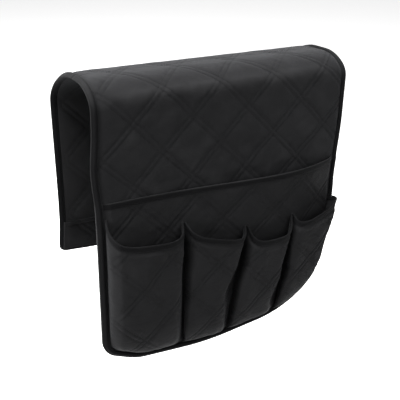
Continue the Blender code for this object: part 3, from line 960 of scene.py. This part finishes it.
def panel_relief(across, height):
    """Quilting and slack of the large pocket's cloth."""
    free = free_of_tape(edge_distance(across, front_along(height), FRONT_EDGE) - TAPE_WIDTH)
    below_hem = 1 - np.exp(-np.clip(MOUTH - height - HEM_WIDTH, 0, None) / 0.003)
    along = front_along(height) + PANEL_SHIFT
    slack = slack_cloth(across, height, PANEL_LUMPS)
    return (quilting(across, along, PANEL_PUFF, PANEL_PUCKER) + slack) * free * below_hem


def panel_points(across, height):
    stand = panel_stand(across, height) + panel_relief(across, height)
    return np.stack([across, -FRONT_REACH - stand, height], -1)


def grid_normals(grid):
    """Unit ways out of a grid whose rows run up and whose columns run to the right."""
    rise = np.gradient(grid, axis=0)
    run = np.gradient(grid, axis=1)
    return unit(np.cross(run, rise))


panel_even = np.linspace(-1, 1, PANEL_COLUMNS + 1)
panel_half = HALF_WIDTH - PANEL_INSET
panel_x = panel_half * (0.55 * panel_even + 0.45 * np.sin(math.pi / 2 * panel_even))
panel_foot = height_at(front_hem(panel_x))
panel_up = np.linspace(0, 1, PANEL_ROWS + 1)[:, None] ** 0.9
panel_z = panel_foot + (MOUTH - panel_foot) * panel_up
panel_grid = panel_points(np.broadcast_to(panel_x, panel_z.shape), panel_z)
panel_out = grid_normals(panel_grid)
panel = closed_cloth("magazine_pocket", panel_grid, panel_grid - panel_out * POCKET_CLOTH, POCKET_LOOK,
                     np.stack([panel_grid[..., 0], panel_grid[..., 2]], -1))
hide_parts("magazine_pocket_panel")
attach(panel, "front_flap")


def hem_tape(name, grid, out, node_name, fold_wear_and_highlight, inset):
    """A tape folded over the top row of a grid, short of it by some columns, and its stitches."""
    columns = slice(inset, -inset)
    rim = grid[-1, columns]
    down = unit(grid[-4, columns] - rim)
    ways = out[-1, columns]
    ways = unit(ways - down * (ways * down).sum(1, keepdims=True))
    section, inside = folded_section(HEM_PROUD, -POCKET_CLOTH - HEM_PROUD, HEM_WIDTH, TAPE,
                                     POCKET_CLOTH / 2 + HEM_PROUD, HEM_SWELLS)
    start = rim - down * HEM_OVERLAP
    # The tape's fold is painted paler: a painted highlight with some rubbing.
    near = np.exp(-(section[:, 0] / TAPE_FOLD_REACH) ** 2)
    piece = closed_cloth(name, swept(start, down, ways, section), swept(start, down, ways, inside),
                         TAPE_LOOK, wear_and_painted_light=np.broadcast_to(fold_wear_and_highlight * near, (len(rim), len(section))))
    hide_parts(node_name)
    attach(piece, "front_flap")
    seam = start + down * HEM_WIDTH * TAPE_SEAM_SHARE + ways * (HEM_PROUD + HEM_THREAD)
    thread = sew(name + "_thread", [(seam[1:-1], ways[1:-1])])
    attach(thread, "front_flap")
    return piece, thread


mouth_tape, mouth_thread = hem_tape("magazine_mouth_tape", panel_grid, panel_out,
                                    "magazine_pocket_hem", MOUTH_FOLD_WEAR_AND_HIGHLIGHT, MOUTH_TAPE_INSET)


def panel_seams():
    seams = []
    for across, along in quilt_lines(mouth_along - PANEL_SEAMS_ABOVE, mouth_along):
        height = height_at(along - PANEL_SHIFT)
        inside = edge_distance(across, along - PANEL_SHIFT, FRONT_EDGE) > TAPE_WIDTH + 0.002
        keep = inside & (height < MOUTH - HEM_WIDTH - 0.001) & (height > MOUTH - PANEL_SEAMS_ABOVE)
        for start, end in runs(keep):
            x, z = across[start:end], height[start:end]
            here = panel_points(x, z)
            beside = panel_points(x + 0.0005, z) - here
            above = panel_points(x, z + 0.0005) - here
            out = unit(np.cross(beside, above))
            seams.append((here + out * ON_CLOTH, out))
    return seams


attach(sew("magazine_pocket_thread", panel_seams()), "front_flap")


# The four small pockets.
# Each is a length of cloth sewn flat beside its neighbour, full between its two seams, gathered at the
# foot and taped at its rim.  Deep in the folds between two pockets the cloth is darkened to near black,
# a painted shade.
SEAM_ROOM = 0.0030
SEAM_TOP_ACROSS_SHARES = (-0.950, -0.376, 0.128, 0.546, 0.975)
SEAM_TOP_DOWN_SHARES = (0.085, 0.185, 0.284, 0.284, 0.260)
SEAM_FOOT_ACROSS_SHARES = (-0.955, -0.371, 0.017, 0.475, 0.850)
POCKET_DEPTH = 0.025
POCKET_DEPTH_SHARES = (1.0, 0.80, 0.76, 0.80)
POCKET_SAG = 0.018
POCKET_SAG_SHARES = (1.15, 0.80, 1.2, 0.3)
POCKET_SAG_LEANS = (0.28, 0.0, 0.0, 1.2)
EDGE_HEIGHT_SHARES = (0, 0.25, 0.5, 0.8, 1)
LEFT_EDGES_MM = ((-2.5, -2.5, -2, -1, 4), (3, 4, -1, -2.5, 1.5),
                 (2.5, 3.5, -2.5, -1, 1.5), (-1, -6, 1, -5.5, -7))
RIGHT_EDGES_MM = ((7, 10, 11, 11.5, 12), (7, 15, 25, 16.5, 8.5),
                  (7, 14, 14.5, 22, 12.5), (-5, 1, 6, 8, 5))
RIM_PLAN_POWER = 3.4
FACE_PLAN_POWERS = (4.5, 7.0, 7.0, 7.0)
FACE_BELOW_RIM = 0.3
PLAN_POINTS = 1200
POCKET_FOOT_POWER = 5.0
SEWN_FOOT_SHARE = 0.03
SIDE_SWAY = 0.0012
POCKET_COLUMNS = 132
POCKET_ROWS = 112
POCKET_PUFF = 0.0008
FOOT_GATHER = 0.0010
FOOT_GATHER_REACH = 0.016
FOOT_GATHER_SIZE = 0.0075
POCKET_PUCKER = 0.00015
FACE_SLACK = 0.0013
FACE_CREPE = 0.0003
DRAWN_DIP = 0.0004
RIM_PUFF = 0.0009
RIM_PUFF_BELOW = 0.005
RIM_DIP = 0.0006
# Painted shade, deep in the folds between two pockets.
PAINTED_VALLEY_SHADE = 2.0
PAINTED_VALLEY_SHADE_PLAN = (0.2, 0.75)
PAINTED_VALLEY_SHADE_BELOW_RIM = 0.02
QUILTED_FROM = 0.45
LAST_POCKET = len(POCKET_DEPTH_SHARES) - 1
FLANGE_COLUMNS = 3
QUILT_SHIFTS = ((0.004, 0.002), (-0.0236, -0.0058), (0.010, 0.0113), (0.020, -0.015))
MM = 0.001
pocket_drop = MOUTH - FRONT_FOOT


def seam_top(number):
    return (HALF_WIDTH * SEAM_TOP_ACROSS_SHARES[number],
            MOUTH - pocket_drop * SEAM_TOP_DOWN_SHARES[number])


def pocket_plan(width, depth, power):
    """A pocket seen from above: shares of its width and depth at even steps round it, with flanges."""
    turn = math.pi * np.linspace(0, 1, PLAN_POINTS)
    cosine = np.cos(turn)
    share = (1 - np.sign(cosine) * np.abs(cosine) ** (2 / power)) / 2
    plan = np.clip(np.sin(turn), 0, 1) ** (2 / power)
    plan[-1] = 0
    run = run_of(np.hypot(np.diff(share) * width, np.diff(plan) * depth))
    places = np.linspace(0, run[-1], POCKET_COLUMNS + 1)
    flat = np.zeros(FLANGE_COLUMNS)
    share = np.concatenate([flat, np.interp(places, run, share), flat + 1])
    return share, np.concatenate([flat, np.interp(places, run, plan), flat])


def pocket_grid(number):
    """Outer face of one small pocket's cloth, its ways out, where it is quilted, and its painted shade in
    the folds.
    """
    left_x, left_z = seam_top(number)
    right_x, right_z = seam_top(number + 1)
    depth = POCKET_DEPTH * POCKET_DEPTH_SHARES[number]
    down = (1 - np.linspace(0, 1, POCKET_ROWS + 1)[:, None]) ** 0.85
    rim_share, rim_plan = pocket_plan(right_x - left_x, depth, RIM_PLAN_POWER)
    face_share, face_plan = pocket_plan(right_x - left_x, depth, FACE_PLAN_POWERS[number])
    below = eased(down, 0, FACE_BELOW_RIM)
    share = rim_share + (face_share - rim_share) * below
    plan = rim_plan + (face_plan - rim_plan) * below
    full = np.minimum(down / (1 - SEWN_FOOT_SHARE), 1)
    fall = (1 - full ** POCKET_FOOT_POWER) ** 0.5
    sway = SIDE_SWAY * slackness(down, number, 60, 0.16)
    out_from_seam = np.sin(math.pi / 2 * plan)
    flange = np.linspace(0.1, 1, FLANGE_COLUMNS, endpoint=False)
    to_seam = np.concatenate([flange, np.ones(POCKET_COLUMNS + 1), flange[::-1]])
    sides = []
    for seam, edges, inwards in ((number, LEFT_EDGES_MM, 1), (number + 1, RIGHT_EDGES_MM, -1)):
        top = HALF_WIDTH * SEAM_TOP_ACROSS_SHARES[seam]
        line = top + (HALF_WIDTH * SEAM_FOOT_ACROSS_SHARES[seam] - top) * down
        edge = MM * np.interp(down, EDGE_HEIGHT_SHARES, edges[number]) + sway
        base = SEAM_ROOM / 2 * to_seam
        sides.append(line + inwards * (base + (edge - base) * out_from_seam))
    x = sides[0] + (sides[1] - sides[0]) * share
    sag = POCKET_SAG * POCKET_SAG_SHARES[number] * (1 + POCKET_SAG_LEANS[number] * (1 - 2 * share))
    top_z = left_z + (right_z - left_z) * share - sag * plan
    foot_z = height_at(front_end(x))
    z = top_z + (foot_z - top_z) * down
    stand = panel_stand(x, z) + POCKET_LAYER + depth * plan * fall
    grid = np.stack([x, -FRONT_REACH - stand, z], -1)
    out = grid_normals(grid)
    below_rim = down * (top_z - foot_z) - HEM_WIDTH
    above_foot = (1 - down) * (top_z - foot_z)
    free = (1 - np.exp(-np.clip(below_rim, 0, None) / 0.004)) * plan * fall
    at_rim = (RIM_PUFF * np.exp(-((below_rim - RIM_PUFF_BELOW) / 0.003) ** 2)
              - RIM_DIP * np.exp(-(below_rim / 0.0018) ** 2))
    slack = FACE_SLACK * slackness(x, z * 0.6, 40 + number, 0.026)
    slack += FACE_CREPE * slackness(x, z, 50 + number, 0.011)
    drawn = np.abs(slackness(x + 0.6 * z, z * 2.2, 70 + number, 0.030))
    gather = FOOT_GATHER * slackness(x, z * 0.2, 80 + number, FOOT_GATHER_SIZE)
    gather *= np.exp(-above_foot / FOOT_GATHER_REACH)
    shift_x, shift_z = QUILT_SHIFTS[number]
    pattern = quilting(x + shift_x, z + shift_z, POCKET_PUFF, POCKET_PUCKER)
    rise = (pattern + slack - DRAWN_DIP * (1 - eased(drawn, 0, 0.12)) + gather) * free + at_rim * plan
    grid = grid + out * rise[..., None]
    # Painted shade: the cloth is darkened to near black deep in the folds between two pockets.
    in_valley = np.where(share < 0.5, number > 0, number < LAST_POCKET)
    deep = (1 - eased(plan, *PAINTED_VALLEY_SHADE_PLAN)) * eased(below_rim, 0, PAINTED_VALLEY_SHADE_BELOW_RIM)
    return grid, grid_normals(grid), free > QUILTED_FROM, PAINTED_VALLEY_SHADE * in_valley * deep


def pocket_seams(grid, out, shows, shift):
    """Stitches along the quilting seams, where they cross the columns of a pocket's cloth."""
    seams = []
    columns = np.arange(grid.shape[1])
    for slope, first in SEAM_FAMILIES:
        field = grid[..., 2] + shift[1] - slope * (grid[..., 0] + shift[0]) - first
        lowest = math.floor(field.min() / DIAMOND)
        for line in range(lowest, math.ceil(field.max() / DIAMOND) + 1):
            for side in (-1, 1):
                gap = field - line * DIAMOND - side * PAIR / math.sqrt(2)
                passed = (gap[:-1] < 0) != (gap[1:] < 0)
                row = passed.argmax(0)
                met = passed.any(0) & shows[row, columns]
                share = (gap[row, columns] / (gap[row, columns] - gap[row + 1, columns]))[:, None]
                points = grid[row, columns] * (1 - share) + grid[row + 1, columns] * share
                ways = out[row, columns]
                for start, end in runs(met, POCKET_LEAST_RUN):
                    seams.append((points[start:end] + ways[start:end] * ON_CLOTH, ways[start:end]))
    return seams


for number in range(len(POCKET_DEPTH_SHARES)):
    cloth_grid, cloth_out, cloth_shows, painted_valley_shade = pocket_grid(number)
    cad_name = f"small_pocket_{number + 1}"
    # The cloth carries the painted shade of its folds.
    cloth = closed_cloth(cad_name + "_cloth", cloth_grid, cloth_grid - cloth_out * POCKET_CLOTH,
                         POCKET_LOOK, wear_and_painted_light=painted_valley_shade)
    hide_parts(cad_name + "_panel")
    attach(cloth, "front_flap")
    rim_tape, rim_thread = hem_tape(cad_name + "_tape", cloth_grid, cloth_out, cad_name + "_hem",
                                    RIM_FOLD_WEAR_AND_HIGHLIGHT, FLANGE_COLUMNS)
    quilt_thread = sew(cad_name + "_thread",
                       pocket_seams(cloth_grid, cloth_out, cloth_shows, QUILT_SHIFTS[number]))
    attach(quilt_thread, "front_flap")


# The studio.
# A pale floor some way below the hanging flaps, and a white surround.  Two broad soft lights above
# and behind brighten the crown, a weak one in front fills the pockets, and one grazes the left end.
FLOOR_DROP = 0.25
FLOOR_SIZE = 12.0
AIM = Vector((0, 0, -0.12))


def where_seen(tree, unseen, shown):
    """A level that holds for the eye, and for what mirrors and glass show, with another elsewhere."""
    path = node(tree, "ShaderNodeLightPath", "kind of ray")
    seen = path.outputs["Is Camera Ray"]
    for other in ("Is Glossy Ray", "Is Transmission Ray"):
        seen = sums(tree, "MAXIMUM", "seen or shown", seen, path.outputs[other])
    level = node(tree, "ShaderNodeMapRange", "level", To_Min=unseen, To_Max=shown)
    tree.links.new(seen, level.inputs["Value"])
    return level.outputs[0]


def plain_floor():
    look, tree, shader = new_look("pale floor", Roughness=0.9, Specular_IOR_Level=0.1,
                                  Emission_Color=(1, 1, 1, 1))
    for socket, unseen, shown in (("Base Color", 0.06, 0.93), ("Emission Strength", 0.0, 0.72)):
        tree.links.new(where_seen(tree, unseen, shown), shader.inputs[socket])
    mesh = bpy.data.meshes.new("floor")
    half = FLOOR_SIZE / 2
    low = FRONT_FOOT - FLOOR_DROP
    mesh.from_pydata([(x * half, y * half, low) for x, y in ((-1, -1), (1, -1), (1, 1), (-1, 1))], [],
                     [(0, 1, 2, 3)])
    mesh.materials.append(look)
    placed("floor", mesh)


def soft_light(name, place, size, power):
    lamp = bpy.data.lights.new(name, "AREA")
    lamp.shape = "RECTANGLE"
    lamp.size, lamp.size_y = size
    lamp.energy = power
    light = placed(name, lamp)
    light.location = place
    light.rotation_euler = (AIM - Vector(place)).to_track_quat("-Z", "Y").to_euler()


def white_surround(ambient):
    world = bpy.data.worlds.new("white surround")
    bpy.context.scene.world = world
    world.use_nodes = True
    tree = world.node_tree
    back = fill_in(tree.nodes["Background"], {"Color": (1, 1, 1, 1)})
    tree.links.new(where_seen(tree, ambient, 1), back.inputs["Strength"])


plain_floor()
soft_light("light above and behind", (-0.9, 1.2, 1.5), (2.0, 1.0), 50)
soft_light("light overhead", (-0.7, -0.15, 2.2), (1.8, 1.4), 116)
soft_light("light in front", (-0.1, -1.8, 0.8), (1.8, 1.4), 23)
soft_light("light from the left", (-2.1, -0.1, 0.30), (1.0, 1.2), 54)
white_surround(0.045)


# The camera.
# It stands where the photograph was taken from, left of the organizer's middle and a little above it.
EYE = Vector((-0.4407, -0.7183, 0.1914))
RIGHT = Vector((0.8597, -0.5106, 0.0145))
UP = Vector((0.195, 0.3543, 0.9146))
BACK = Vector((-0.4721, -0.7835, 0.4042))
SENSOR = 36.0
LENS = 62.6
camera = placed("camera", bpy.data.cameras.new("camera"))
bpy.context.scene.camera = camera
camera.data.sensor_width = SENSOR
camera.data.lens = LENS
camera.data.clip_start = 0.05
camera.data.clip_end = 50
camera.matrix_world = Matrix.Translation(EYE) @ Matrix((RIGHT, UP, BACK)).transposed().to_4x4()
bpy.context.scene.view_settings.view_transform = "Standard"
